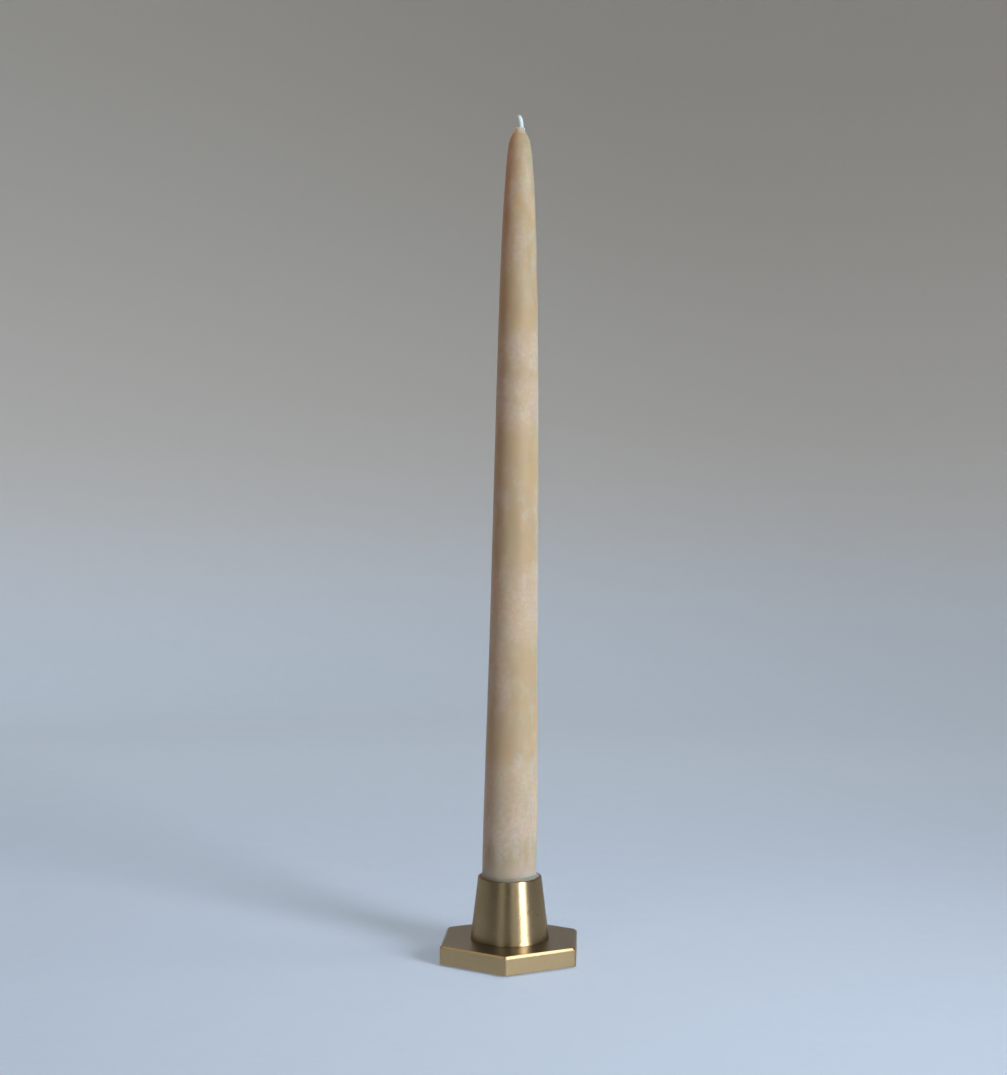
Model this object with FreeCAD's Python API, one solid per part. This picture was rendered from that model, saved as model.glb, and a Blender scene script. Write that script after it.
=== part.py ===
import FreeCAD, Part
import math
import os

# A brass candlestick holding a tall dipped taper candle.
#
# Millimetres, +Z up. The origin is the middle of the face that the candlestick stands on, and the
# axis of the cup is the Z axis. One corner of the hexagonal plate points along -Y.
#
# The cup is turned from round bar and pulled down onto the plate by one screw from below. A felt
# ring is stuck into a shallow recess under the plate, and stands proud of it, so that brass never
# touches the table. The candle stands loose in the cup's socket and lifts straight out.

# Base plate: a slice of hexagon bar
PLATE_ACROSS_FLATS = 54.0
PLATE_TOP = 8.0  # height above the table
PLATE_CHAMFER = 0.85  # polished bevel round the top edge
PLATE_CORNER_BREAK = 0.3
STANDOFF = 0.6  # gap that the felt leaves between plate and table
UNDERSIDE_BREAK = 0.3

# Candle cup: a cone with a parallel socket
CUP_HEIGHT = 25.0
CUP_FOOT_RADIUS = 15.9
CUP_MOUTH_RADIUS = 12.85
CUP_FLOOR_THICKNESS = 6.5
SOCKET_RADIUS = 11.55  # takes a standard 22 mm candle
SOCKET_CHAMFER = 0.45
SOCKET_CORNER_ROUND = 0.4
RIM_ROUND = 0.3
FOOT_BREAK = 0.2

# Felt ring and the film that sticks it on
RECESS_RADIUS = 22.0
FELT_RADIUS = 21.8
FELT_HOLE_RADIUS = 6.5
FELT_THICKNESS = 1.3
FILM_THICKNESS = 0.2
FILM_RADIUS = 21.4
FILM_HOLE_RADIUS = 7.0

# M4 x 10 slotted cheese head screw, with its washers
THREAD_RADIUS = 2.0
THREAD_PITCH = 0.7
THREAD_DEPTH = 0.4
THREAD_TURNS = 13
SCREW_LENGTH = 10.0
HEAD_RADIUS = 3.5
HEAD_HEIGHT = 2.6
HEAD_ROUND = 0.35
SLOT_WIDTH = 1.2
SLOT_DEPTH = 1.1
SLOT_TURN = 25.0  # degrees, where the slot happens to stop
NECK_RADIUS = 1.7
SPRING_WASHER_RADIUS = 3.8
SPRING_WASHER_HOLE = 2.05
SPRING_WASHER_THICKNESS = 0.9
SPLIT_WIDTH = 0.5
SPLIT_SLANT = 30.0  # degrees from upright
PLAIN_WASHER_RADIUS = 4.5
PLAIN_WASHER_HOLE = 2.15
PLAIN_WASHER_THICKNESS = 0.8
COUNTERBORE_RADIUS = 5.0
HEAD_SINK = 0.1  # the head stops this far inside the recess floor
CLEARANCE_HOLE_RADIUS = 2.25

# Candle: heights above its butt with the radius there, dipped fat at the foot and fine at the tip.
# Below the first height the butt's edge is cut off at 45 degrees.
CANDLE_LENGTH = 321.1
CANDLE_RADII = (
    (0.6, 10.5),
    (18.5, 10.95),
    (60.0, 10.75),
    (115.0, 9.9),
    (180.0, 9.05),
    (240.0, 8.05),
    (280.0, 6.95),
    (300.0, 6.0),
    (314.0, 4.6),
)
DOME_MIDDLE = (317.7, 3.5)  # height above the butt and radius, half way round the shoulder
COLLAR_HEIGHT = 1.5  # last drip of wax that climbs the wick
COLLAR_RADIUS = 2.25
COLLAR_ROUND = 0.5
BUTT_SHIFT = -0.7  # the butt stands left of the cup's axis
CANDLE_LEAN = 4.8  # and the tip this much further right
CANDLE_BOW = 0.6  # bulge of the candle's middle to the right of a straight line

# Wick: cotton, off centre in the wax, with a bent tip
WICK_RADIUS = 1.0
WICK_SHIFT = 0.5
WICK_SHOWING = 5.6
WICK_BEND = -1.3
WICK_BEND_SHARPNESS = 3  # power that keeps the bend near the free end
WICK_STATIONS = 6

# Heights that follow from the sizes above
RECESS_FLOOR = FELT_THICKNESS + FILM_THICKNESS
HEAD_FACE = RECESS_FLOOR + HEAD_SINK
HEAD_SEAT = HEAD_FACE + HEAD_HEIGHT
SPRING_WASHER_TOP = HEAD_SEAT + SPRING_WASHER_THICKNESS
COUNTERBORE_FLOOR = SPRING_WASHER_TOP + PLAIN_WASHER_THICKNESS
SCREW_TIP = HEAD_SEAT + SCREW_LENGTH
THREAD_START = SCREW_TIP - THREAD_TURNS * THREAD_PITCH
SOCKET_FLOOR = PLATE_TOP + CUP_FLOOR_THICKNESS
CUP_MOUTH = PLATE_TOP + CUP_HEIGHT

CUTTER_SPARE = 1.0  # how far a cutting tool runs past the face it opens
Z_AXIS = FreeCAD.Vector(0, 0, 1)
HERE = FreeCAD.Vector(0, 0, 0)


def disc(radius, low, high):
    """A cylinder on the Z axis between two heights."""
    return Part.makeCylinder(radius, high - low, FreeCAD.Vector(0, 0, low))


def ring(outer, inner, low, high):
    """A flat ring on the Z axis."""
    return disc(outer, low, high).cut(disc(inner, low - CUTTER_SPARE, high + CUTTER_SPARE))


def turned(outline, x=0.0):
    """A solid turned on the lathe, from edges or (radius, height) corners that start and end on its axis."""
    if not isinstance(outline[0], Part.Edge):
        points = [FreeCAD.Vector(radius, 0, height) for radius, height in outline]
        outline = [Part.LineSegment(a, b).toShape() for a, b in zip(points, points[1:])]
    first = outline[0].firstVertex(True).Point
    last = outline[-1].lastVertex(True).Point
    axis = Part.LineSegment(last, first).toShape()
    face = Part.Face(Part.Wire([*outline, axis]))
    solid = face.revolve(HERE, Z_AXIS, 360)
    solid.translate(FreeCAD.Vector(x, 0, 0))
    return solid


def rims(shape, radius, height):
    """The round edges of a shape at one radius and height."""
    return [
        edge
        for edge in shape.Edges
        if isinstance(edge.Curve, Part.Circle)
        and abs(edge.Curve.Radius - radius) < 1e-4
        and abs(edge.Curve.Center.z - height) < 1e-4
    ]


def hexagon(flat_radius, height):
    """A hexagon wire with its six corners just taken off, one of them towards -Y."""
    corner_radius = flat_radius / math.cos(math.pi / 6)
    corners = [
        FreeCAD.Vector(
            corner_radius * math.cos(math.radians(60 * i - 90)),
            corner_radius * math.sin(math.radians(60 * i - 90)),
            height,
        )
        for i in range(6)
    ]
    points = []
    for i, corner in enumerate(corners):
        for neighbour in (corners[i - 1], corners[(i + 1) % 6]):
            along = (neighbour - corner).normalize()
            points.append(corner + along * PLATE_CORNER_BREAK)
    return Part.makePolygon([*points, points[0]])


def threaded_rod(turns):
    """A rod with ring-shaped thread grooves, from the screw's neck upwards."""
    outline = [(0.0, THREAD_START)]
    for turn in range(turns):
        root = THREAD_START + turn * THREAD_PITCH
        outline.append((THREAD_RADIUS - THREAD_DEPTH, root))
        outline.append((THREAD_RADIUS, root + THREAD_PITCH / 2))
    end = THREAD_START + turns * THREAD_PITCH
    outline += [(THREAD_RADIUS - THREAD_DEPTH, end), (0.0, end)]
    return turned(outline)


def base_plate():
    """Hexagonal plate with a bevelled top, a recess for the felt and a counterbored screw hole."""
    half = PLATE_ACROSS_FLATS / 2
    plate = Part.makeLoft(
        [
            hexagon(half - UNDERSIDE_BREAK, STANDOFF),
            hexagon(half, STANDOFF + UNDERSIDE_BREAK),
            hexagon(half, PLATE_TOP - PLATE_CHAMFER),
            hexagon(half - PLATE_CHAMFER, PLATE_TOP),
        ],
        True,
        True,
    )
    plate = plate.cut(disc(RECESS_RADIUS, STANDOFF - CUTTER_SPARE, RECESS_FLOOR))
    plate = plate.cut(disc(COUNTERBORE_RADIUS, STANDOFF, COUNTERBORE_FLOOR))
    return plate.cut(disc(CLEARANCE_HOLE_RADIUS, STANDOFF, PLATE_TOP + CUTTER_SPARE))


def candle_cup():
    """Tapered cup, solid at the foot where the screw bites, bored out above for the candle."""
    cup = Part.makeCone(
        CUP_FOOT_RADIUS, CUP_MOUTH_RADIUS, CUP_HEIGHT, FreeCAD.Vector(0, 0, PLATE_TOP)
    )
    cup = cup.makeFillet(RIM_ROUND, rims(cup, CUP_MOUTH_RADIUS, CUP_MOUTH))
    cup = cup.makeChamfer(FOOT_BREAK, rims(cup, CUP_FOOT_RADIUS, PLATE_TOP))
    socket = disc(SOCKET_RADIUS, SOCKET_FLOOR, CUP_MOUTH + CUTTER_SPARE)
    socket = socket.makeFillet(SOCKET_CORNER_ROUND, rims(socket, SOCKET_RADIUS, SOCKET_FLOOR))
    cup = cup.cut(socket)
    cup = cup.makeChamfer(SOCKET_CHAMFER, rims(cup, SOCKET_RADIUS, CUP_MOUTH))
    return cup.cut(threaded_rod(THREAD_TURNS + 1))


def cup_screw():
    """Slotted cheese head screw that holds the cup to the plate, head downwards."""
    head = disc(HEAD_RADIUS, HEAD_FACE, HEAD_SEAT)
    head = head.makeFillet(HEAD_ROUND, rims(head, HEAD_RADIUS, HEAD_FACE))
    slot = Part.makeBox(
        2 * HEAD_RADIUS + 2 * CUTTER_SPARE,
        SLOT_WIDTH,
        SLOT_DEPTH + CUTTER_SPARE,
        FreeCAD.Vector(-HEAD_RADIUS - CUTTER_SPARE, -SLOT_WIDTH / 2, HEAD_FACE - CUTTER_SPARE),
    )
    slot.rotate(HERE, Z_AXIS, SLOT_TURN)
    neck = disc(NECK_RADIUS, HEAD_SEAT, THREAD_START)
    return head.cut(slot).fuse([neck, threaded_rod(THREAD_TURNS)]).removeSplitter()


def spring_washer():
    """Split ring, pressed flat by the screw head, which keeps the cup from working loose."""
    washer = ring(SPRING_WASHER_RADIUS, SPRING_WASHER_HOLE, HEAD_SEAT, SPRING_WASHER_TOP)
    split = Part.makeBox(
        SPRING_WASHER_RADIUS + CUTTER_SPARE,
        SPLIT_WIDTH,
        SPRING_WASHER_THICKNESS + 2 * CUTTER_SPARE,
        FreeCAD.Vector(0, -SPLIT_WIDTH / 2, -SPRING_WASHER_THICKNESS / 2 - CUTTER_SPARE),
    )
    split.rotate(HERE, FreeCAD.Vector(1, 0, 0), SPLIT_SLANT)
    split.translate(FreeCAD.Vector(0, 0, HEAD_SEAT + SPRING_WASHER_THICKNESS / 2))
    return washer.cut(split)


def plain_washer():
    """Flat washer between the spring washer and the plate."""
    return ring(PLAIN_WASHER_RADIUS, PLAIN_WASHER_HOLE, SPRING_WASHER_TOP, COUNTERBORE_FLOOR)


def felt_pad():
    """Felt ring that the candlestick stands on."""
    return ring(FELT_RADIUS, FELT_HOLE_RADIUS, 0.0, FELT_THICKNESS)


def pad_adhesive():
    """Double-sided film that holds the felt in its recess."""
    return ring(FILM_RADIUS, FILM_HOLE_RADIUS, FELT_THICKNESS, RECESS_FLOOR)


def candle_line(height):
    """How far right of the cup's axis the candle's own middle lies, at a height above its butt."""
    share = height / CANDLE_LENGTH
    return BUTT_SHIFT + CANDLE_LEAN * share + 4 * CANDLE_BOW * share * (1 - share)


def round_section(radius, x, height):
    """One level circle of the candle or its wick, at a height above the butt."""
    centre = FreeCAD.Vector(x, 0, SOCKET_FLOOR + height)
    return Part.Wire(Part.makeCircle(radius, centre, Z_AXIS))


def candle_wick():
    """Wick through the whole candle, with its free end bent over to the left."""
    core = []
    for i in range(WICK_STATIONS):
        height = CANDLE_LENGTH * i / (WICK_STATIONS - 1)
        core.append(round_section(WICK_RADIUS, candle_line(height) + WICK_SHIFT, height))
    root = candle_line(CANDLE_LENGTH) + WICK_SHIFT
    free_end = []
    for i in range(WICK_STATIONS):
        share = i / (WICK_STATIONS - 1)
        x = root + WICK_BEND * share**WICK_BEND_SHARPNESS
        free_end.append(round_section(WICK_RADIUS, x, CANDLE_LENGTH + WICK_SHOWING * share))
    return Part.makeLoft(core, True, False).fuse(Part.makeLoft(free_end, True, False))


def candle_wax(wick):
    """Dipped taper: a long shaft that leans and bows a little, a domed tip and a collar of wax."""
    shaft = Part.makeLoft(
        [round_section(radius, candle_line(height), height) for height, radius in CANDLE_RADII],
        True,
        False,
    )
    butt_height, butt_radius = CANDLE_RADII[0]
    butt = Part.makeCone(
        butt_radius - butt_height,
        butt_radius,
        butt_height,
        FreeCAD.Vector(candle_line(butt_height), 0, SOCKET_FLOOR),
    )
    dome_foot, dome_radius = CANDLE_RADII[-1]
    top = SOCKET_FLOOR + CANDLE_LENGTH
    foot = FreeCAD.Vector(0, 0, SOCKET_FLOOR + dome_foot)
    corner = foot + FreeCAD.Vector(dome_radius, 0, 0)
    middle = FreeCAD.Vector(DOME_MIDDLE[1], 0, SOCKET_FLOOR + DOME_MIDDLE[0])
    collar_foot = FreeCAD.Vector(COLLAR_RADIUS, 0, top - COLLAR_HEIGHT)
    collar_side = FreeCAD.Vector(COLLAR_RADIUS, 0, top - COLLAR_ROUND)
    collar_bend = FreeCAD.Vector(
        COLLAR_RADIUS - COLLAR_ROUND * (1 - math.sqrt(0.5)),
        0,
        top - COLLAR_ROUND * (1 - math.sqrt(0.5)),
    )
    collar_top = FreeCAD.Vector(COLLAR_RADIUS - COLLAR_ROUND, 0, top)
    dome = turned(
        [
            Part.LineSegment(foot, corner).toShape(),
            Part.Arc(corner, middle, collar_foot).toShape(),
            Part.LineSegment(collar_foot, collar_side).toShape(),
            Part.Arc(collar_side, collar_bend, collar_top).toShape(),
            Part.LineSegment(collar_top, FreeCAD.Vector(0, 0, top)).toShape(),
        ],
        candle_line(dome_foot),
    )
    return shaft.fuse([butt, dome]).cut(wick)


wick = candle_wick()
nodes = {
    "base_plate": base_plate(),
    "candle_cup": candle_cup(),
    "cup_screw": cup_screw(),
    "spring_washer": spring_washer(),
    "plain_washer": plain_washer(),
    "felt_pad": felt_pad(),
    "pad_adhesive": pad_adhesive(),
    "candle_wax": candle_wax(wick),
    "candle_wick": wick,
}
os.makedirs("parts", exist_ok=True)
for name, shape in nodes.items():
    shape.exportStep(f"parts/{name}.step")
    print(name, "solids", len(shape.Solids), "valid", shape.isValid(), "mm3", round(shape.Volume, 1))
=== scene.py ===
# %% [markdown]
# # A brass candlestick and its dipped candle
# The imported model gives every piece its place, so it is loaded first and never moved. The finished
# pieces have to stay inside it.

# %% Load the imported model
import math
import random

import bpy
import numpy as np
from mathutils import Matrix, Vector, noise
from mathutils.bvhtree import BVHTree


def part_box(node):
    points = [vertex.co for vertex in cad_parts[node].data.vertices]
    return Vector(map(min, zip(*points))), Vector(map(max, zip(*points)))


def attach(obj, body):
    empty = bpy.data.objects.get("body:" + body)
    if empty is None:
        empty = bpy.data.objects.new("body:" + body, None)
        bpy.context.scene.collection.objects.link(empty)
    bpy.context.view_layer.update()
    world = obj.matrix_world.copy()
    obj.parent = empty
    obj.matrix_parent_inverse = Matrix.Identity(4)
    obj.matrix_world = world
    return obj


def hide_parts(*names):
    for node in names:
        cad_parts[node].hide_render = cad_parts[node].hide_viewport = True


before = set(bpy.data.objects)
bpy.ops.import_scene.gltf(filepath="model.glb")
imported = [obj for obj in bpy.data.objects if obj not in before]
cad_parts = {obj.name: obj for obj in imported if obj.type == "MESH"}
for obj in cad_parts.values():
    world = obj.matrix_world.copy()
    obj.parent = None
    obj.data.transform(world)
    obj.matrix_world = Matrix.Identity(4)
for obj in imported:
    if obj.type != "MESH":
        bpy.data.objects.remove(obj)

MM = 0.001
UP = Vector((0, 0, 1))
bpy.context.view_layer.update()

# %% [markdown]
# ## The camera
# The candlestick is seen from a little above its foot, almost level, with one corner of the hexagon
# turned slightly to the left. A long lens from a short distance keeps the tall candle upright. The
# candlestick stands just right of the middle of the picture.

# %% Camera
LONG_SIDE = 1075  # the picture is 1007 wide and 1075 high
LENS_IN_PICTURE = 1600  # focal length on the same scale as the picture
SENSOR = 36.0
CAMERA_DISTANCE = 0.6481
CAMERA_HEIGHT = 0.1736
CAMERA_TURN = math.radians(3.44)
CAMERA_DIP = math.radians(0.31)
RIGHT_OF_MIDDLE = 0.00253

looking = Vector((-math.sin(CAMERA_TURN), math.cos(CAMERA_TURN), 0))
sideways = Vector((math.cos(CAMERA_TURN), math.sin(CAMERA_TURN), 0))
camera_data = bpy.data.cameras.new("camera")
camera_data.sensor_width = SENSOR
camera_data.lens = SENSOR * LENS_IN_PICTURE / LONG_SIDE
camera = bpy.data.objects.new("camera", camera_data)
camera.location = -CAMERA_DISTANCE * looking - RIGHT_OF_MIDDLE * sideways + CAMERA_HEIGHT * UP
camera.rotation_euler = (math.pi / 2 - CAMERA_DIP, 0, CAMERA_TURN)
bpy.context.scene.collection.objects.link(camera)
bpy.context.scene.camera = camera
bpy.context.scene.view_settings.view_transform = "Standard"
print("lens, mm:", round(camera_data.lens, 2))

# %% [markdown]
# ## Feeling the imported parts
# A finer piece has to keep the size of the part that it stands for. Its sizes could be typed in again,
# but then they would drift apart when the part changes. A ray that is sent at the imported part reports
# where its surface is, so the main sizes below are felt; the roundings, bevels, the thread and the
# wick's yarns are named.


# %% Rays that measure
def surface_feeler(node):
    """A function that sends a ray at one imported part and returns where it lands."""
    tree = BVHTree.FromObject(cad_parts[node], bpy.context.evaluated_depsgraph_get())

    def feel(start, direction):
        return tree.ray_cast(Vector(start), Vector(direction))[0]

    return feel


def felt_radius(feel, height, outwards):
    """Radius of a round part about the cup's axis, from inside a hollow or from far outside."""
    start, step = (0.0, 1.0) if outwards else (0.1, -1.0)
    return feel((start, 0, height), (step, 0, 0)).x


# %% [markdown]
# ## Meshes from rings
# The plate, the cup and the candle are all stacks of closed rings of points: hexagons, circles, or
# circles that shrink and wander. One helper joins neighbouring rings with faces. Modelling this way
# puts points exactly where a rounded edge needs them, which a bevel modifier on a coarse shape would
# only guess at.


# %% Ring meshes
def ring_mesh(name, rings, closed_loop, materials, slots=None):
    """A smooth piece from rings of points. A closed loop of rings joins the last one to the first."""
    rings = np.asarray(rings, float)
    count, around = rings.shape[:2]
    faces, face_slots = [], []
    for i in range(count if closed_loop else count - 1):
        here, there = i * around, (i + 1) % count * around
        for j in range(around):
            k = (j + 1) % around
            faces.append((here + j, here + k, there + k, there + j))
            face_slots.append(slots[i] if slots else 0)
    if not closed_loop:
        for edge, turn in ((0, -1), (count - 1, 1)):
            faces.append(tuple(edge * around + j for j in range(around))[::turn])
            face_slots.append(0)
    mesh = bpy.data.meshes.new(name)
    mesh.from_pydata(rings.reshape(-1, 3).tolist(), [], faces)
    mesh.polygons.foreach_set("material_index", face_slots)
    mesh.polygons.foreach_set("use_smooth", [True] * len(faces))
    for material in materials:
        mesh.materials.append(material)
    piece = bpy.data.objects.new(name, mesh)
    bpy.context.scene.collection.objects.link(piece)
    print(name, "rings", count, "points", count * around)
    return piece


HOLD = 0.06 * MM  # how far from a round its two extra points lie


def rounded(corners, radii, steps):
    """A closed outline with its corners rounded. Two points beside each round hold the flats flat."""
    outline = []
    for i, corner in enumerate(corners):
        here = Vector(corner)
        before = (Vector(corners[i - 1]) - here).normalized()
        after = (Vector(corners[(i + 1) % len(corners)]) - here).normalized()
        half = before.angle(after) / 2
        reach = radii[i] / math.tan(half)
        middle = here + (before + after).normalized() * radii[i] / math.sin(half)
        first, last = here + before * reach, here + after * reach
        sweep = math.pi - 2 * half
        outline.append(first + before * HOLD)
        for step in range(steps + 1):
            start, end = math.sin(sweep * (1 - step / steps)), math.sin(sweep * step / steps)
            spoke = ((first - middle) * start + (last - middle) * end) / math.sin(sweep)
            outline.append(middle + spoke)
        outline.append(last + after * HOLD)
    return outline


# %% [markdown]
# ## Building materials from nodes
# Every finish here is a small network of nodes. Two helpers keep the code short: one makes a node and
# links or sets its inputs, the other makes a group of nodes with named sockets, which several finishes
# then share with their own values.


# %% Node helpers
def node(tree, kind, links=None, **settings):
    """A node with its inputs linked, if given a socket, or set, if given a value."""
    made = tree.nodes.new("ShaderNode" + kind)
    for name, value in settings.items():
        setattr(made, name, value)
    for name, value in (links or {}).items():
        if isinstance(value, bpy.types.NodeSocket):
            tree.links.new(value, made.inputs[name])
        else:
            made.inputs[name].default_value = value
    return made


def maths(tree, operation, a, b=0.0, c=0.0, clamp=False):
    """A sum on two or three numbers or sockets."""
    links = {0: a, 1: b, 2: c}
    return node(tree, "Math", links, operation=operation, use_clamp=clamp).outputs[0]


def ramp(tree, value, low, high, to_low=0.0, to_high=1.0):
    """A value eased from one level to another as the input crosses a range."""
    links = {"Value": value, "From Min": low, "From Max": high, "To Min": to_low, "To Max": to_high}
    return node(tree, "MapRange", links, interpolation_type="SMOOTHSTEP").outputs["Result"]


MIX_AMOUNT, MIX_FIRST, MIX_SECOND, MIX_RESULT = 0, 6, 7, 2  # the colour sockets of a Mix node


def mix_colour(tree, amount, a, b):
    """The first colour where the amount is 0, the second where it is 1."""
    made = node(tree, "Mix", data_type="RGBA")
    for name, value in ((MIX_AMOUNT, amount), (MIX_FIRST, a), (MIX_SECOND, b)):
        socket = made.inputs[name]
        if isinstance(value, bpy.types.NodeSocket):
            tree.links.new(value, socket)
        else:
            socket.default_value = value
    return made.outputs[MIX_RESULT]


def colour(red, green, blue):
    return (red, green, blue, 1.0)


def new_group(name, inputs, outputs):
    """A node group with value or vector sockets, its entry and its exit."""
    tree = bpy.data.node_groups.new(name, "ShaderNodeTree")
    for way, sockets in (("INPUT", inputs), ("OUTPUT", outputs)):
        for socket_name, kind, default in sockets:
            kind = "NodeSocket" + kind
            socket = tree.interface.new_socket(socket_name, in_out=way, socket_type=kind)
            if default is not None:
                socket.default_value = default
    return tree, tree.nodes.new("NodeGroupInput").outputs, tree.nodes.new("NodeGroupOutput").inputs


def use_group(tree, group, links):
    """A shared group placed in a material, with its own values. Returns the group's outputs."""
    made = tree.nodes.new("ShaderNodeGroup")
    made.node_tree = group
    for name, value in links.items():
        if isinstance(value, bpy.types.NodeSocket):
            tree.links.new(value, made.inputs[name])
        else:
            made.inputs[name].default_value = value
    return made.outputs


def new_material(name):
    """A material with its tree, its shader and the piece's own coordinates."""
    material = bpy.data.materials.new(name)
    material.use_nodes = True
    tree = material.node_tree
    shader = tree.nodes["Principled BSDF"]
    place = tree.nodes.new("ShaderNodeTexCoord").outputs["Object"]
    return material, tree, shader, place


# %% [markdown]
# ## Effects that several finishes share
# Cutting and brushing leave fine parallel lines. Noise that is squeezed hard in one direction looks
# like them: it changes at once across the lines and slowly along them. Fingers and polish leave soft
# cloudy marks, which are two sizes of noise together. A worn edge is found by comparing the surface
# with a rounded copy of itself, since the two only differ at an edge.

# %% Fine parallel lines
lines_group, given, wanted = new_group(
    "fine parallel lines",
    [
        ("Place", "Vector", None),
        ("Lines per metre", "Float", 9000.0),
        ("Changes along", "Float", 60.0),
        ("Seed", "Float", 0.0),
    ],
    [("Lines", "Float", None), ("Bands", "Float", None)],
)
parts = node(lines_group, "SeparateXYZ", {0: given["Place"]}).outputs
for output, share in (("Lines", 1.0), ("Bands", 0.12)):
    across = maths(lines_group, "MULTIPLY", given["Lines per metre"], share)
    stretched = node(
        lines_group,
        "CombineXYZ",
        {
            0: maths(lines_group, "MULTIPLY", parts[0], given["Changes along"]),
            1: maths(lines_group, "MULTIPLY", parts[1], given["Changes along"]),
            2: maths(lines_group, "MULTIPLY", parts[2], across),
        },
    ).outputs[0]
    grain = node(
        lines_group,
        "TexNoise",
        {"Vector": stretched, "W": given["Seed"], "Scale": 1.0, "Detail": 2.0},
        noise_dimensions="4D",
    ).outputs["Fac"]
    lines_group.links.new(ramp(lines_group, grain, 0.3, 0.7), wanted[output])

# %% Cloudy handling marks
marks_group, given, wanted = new_group(
    "handling marks",
    [("Place", "Vector", None), ("Size", "Float", 0.006), ("Seed", "Float", 0.0)],
    [("Marks", "Float", None)],
)
clouds = []
for finer in (1.0, 4.5):
    scale = maths(marks_group, "DIVIDE", finer, given["Size"])
    clouds.append(
        node(
            marks_group,
            "TexNoise",
            {"Vector": given["Place"], "W": given["Seed"], "Scale": scale, "Detail": 4.0},
            noise_dimensions="4D",
        ).outputs["Fac"]
    )
both = maths(marks_group, "MULTIPLY", clouds[0], clouds[1])
marks_group.links.new(ramp(marks_group, both, 0.16, 0.38), wanted["Marks"])

# %% Worn edges
EDGE_WIDTH = 0.35 * MM
wear_group, given, wanted = new_group(
    "worn edges", [("Strength", "Float", 1.0)], [("Wear", "Float", None)]
)
soft_normal = node(wear_group, "Bevel", {"Radius": EDGE_WIDTH}, samples=4).outputs[0]
true_normal = wear_group.nodes.new("ShaderNodeNewGeometry").outputs["True Normal"]
likeness = node(wear_group, "VectorMath", {0: soft_normal, 1: true_normal}, operation="DOT_PRODUCT")
edge = ramp(wear_group, likeness.outputs["Value"], 0.995, 0.9)
wear_group.links.new(maths(wear_group, "MULTIPLY", edge, given["Strength"], clamp=True), wanted["Wear"])

# %% [markdown]
# ## Brass
# Turned brass throws light out sideways from its grooves, so a lamp becomes a tall narrow streak. The
# shader does this with anisotropy. Its own tangent runs round the upright axis, along the grooves, and
# a quarter turn spreads the light across them. The lines themselves are too fine to see one by one,
# but they break up the streak, so they also vary the colour, the roughness and the bump a little.
# The plate's sides are a warmer brass, its top a paler one, and handling has dulled both.

# %% Brass finishes
BRASS = colour(0.36, 0.255, 0.135)
BRASS_DEEP = colour(0.28, 0.19, 0.095)
BRASS_FRESH = colour(0.66, 0.54, 0.34)
BRASS_WARM = colour(0.48, 0.335, 0.172)
BRASS_TOP, BRASS_TOP_DEEP = colour(0.465, 0.375, 0.26), colour(0.38, 0.305, 0.205)
BRASS_AT_A_GLANCE = colour(0.78, 0.70, 0.62)  # what is left of the mirror at a flat angle
TOP_AT_A_GLANCE = colour(0.90, 0.88, 0.88)  # the plate's top is less worn and mirrors more
ACROSS_THE_GROOVES = 0.25  # turn of the anisotropy, as a share of a full turn


def brass_finish(
    name,
    place_of_lines,
    roughness,
    spread,
    lines,
    bump,
    seed,
    base=BRASS,
    deep=BRASS_DEEP,
    glance=BRASS_AT_A_GLANCE,
):
    """One brass surface: its lines, how rough it is, how far it spreads the light, its colours."""
    material, tree, shader, place = new_material(name)
    grain = use_group(
        tree,
        lines_group,
        {
            "Place": place_of_lines(tree, place),
            "Lines per metre": lines,
            "Changes along": lines / 400,
            "Seed": seed,
        },
    )
    marks = use_group(tree, marks_group, {"Place": place, "Size": 0.009, "Seed": seed})["Marks"]
    wear = use_group(tree, wear_group, {"Strength": 0.6})["Wear"]
    tone = maths(tree, "MULTIPLY_ADD", grain["Bands"], 0.07, maths(tree, "MULTIPLY", marks, 0.15))
    tinted = mix_colour(tree, tone, base, deep)
    tree.links.new(mix_colour(tree, wear, tinted, BRASS_FRESH), shader.inputs["Base Color"])
    dulled = maths(tree, "MULTIPLY_ADD", marks, 0.02, roughness)
    streaky = maths(tree, "MULTIPLY_ADD", grain["Lines"], 0.012, dulled)
    tree.links.new(maths(tree, "MULTIPLY_ADD", wear, -0.06, streaky), shader.inputs["Roughness"])
    height = maths(tree, "MULTIPLY_ADD", grain["Bands"], 0.6, grain["Lines"])
    relief = node(tree, "Bump", {"Height": height, "Distance": bump * MM, "Strength": 1.0})
    tree.links.new(relief.outputs[0], shader.inputs["Normal"])
    shader.inputs["Metallic"].default_value = 1.0
    shader.inputs["Specular Tint"].default_value = glance
    shader.inputs["Anisotropic"].default_value = spread
    shader.inputs["Anisotropic Rotation"].default_value = ACROSS_THE_GROOVES
    return material


def lines_level(tree, place):
    """Grooves that run level round the piece or along its sides."""
    return place


def lines_in_circles(tree, place):
    """Grooves in circles about the axis, as a facing cut leaves them on a flat end."""
    flat = node(tree, "VectorMath", {0: place, 1: (1, 1, 0)}, operation="MULTIPLY").outputs[0]
    radius = node(tree, "VectorMath", {0: flat}, operation="LENGTH").outputs["Value"]
    parts = node(tree, "SeparateXYZ", {0: place}).outputs
    return node(tree, "CombineXYZ", {0: parts[0], 1: parts[1], 2: radius}).outputs[0]


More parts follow.
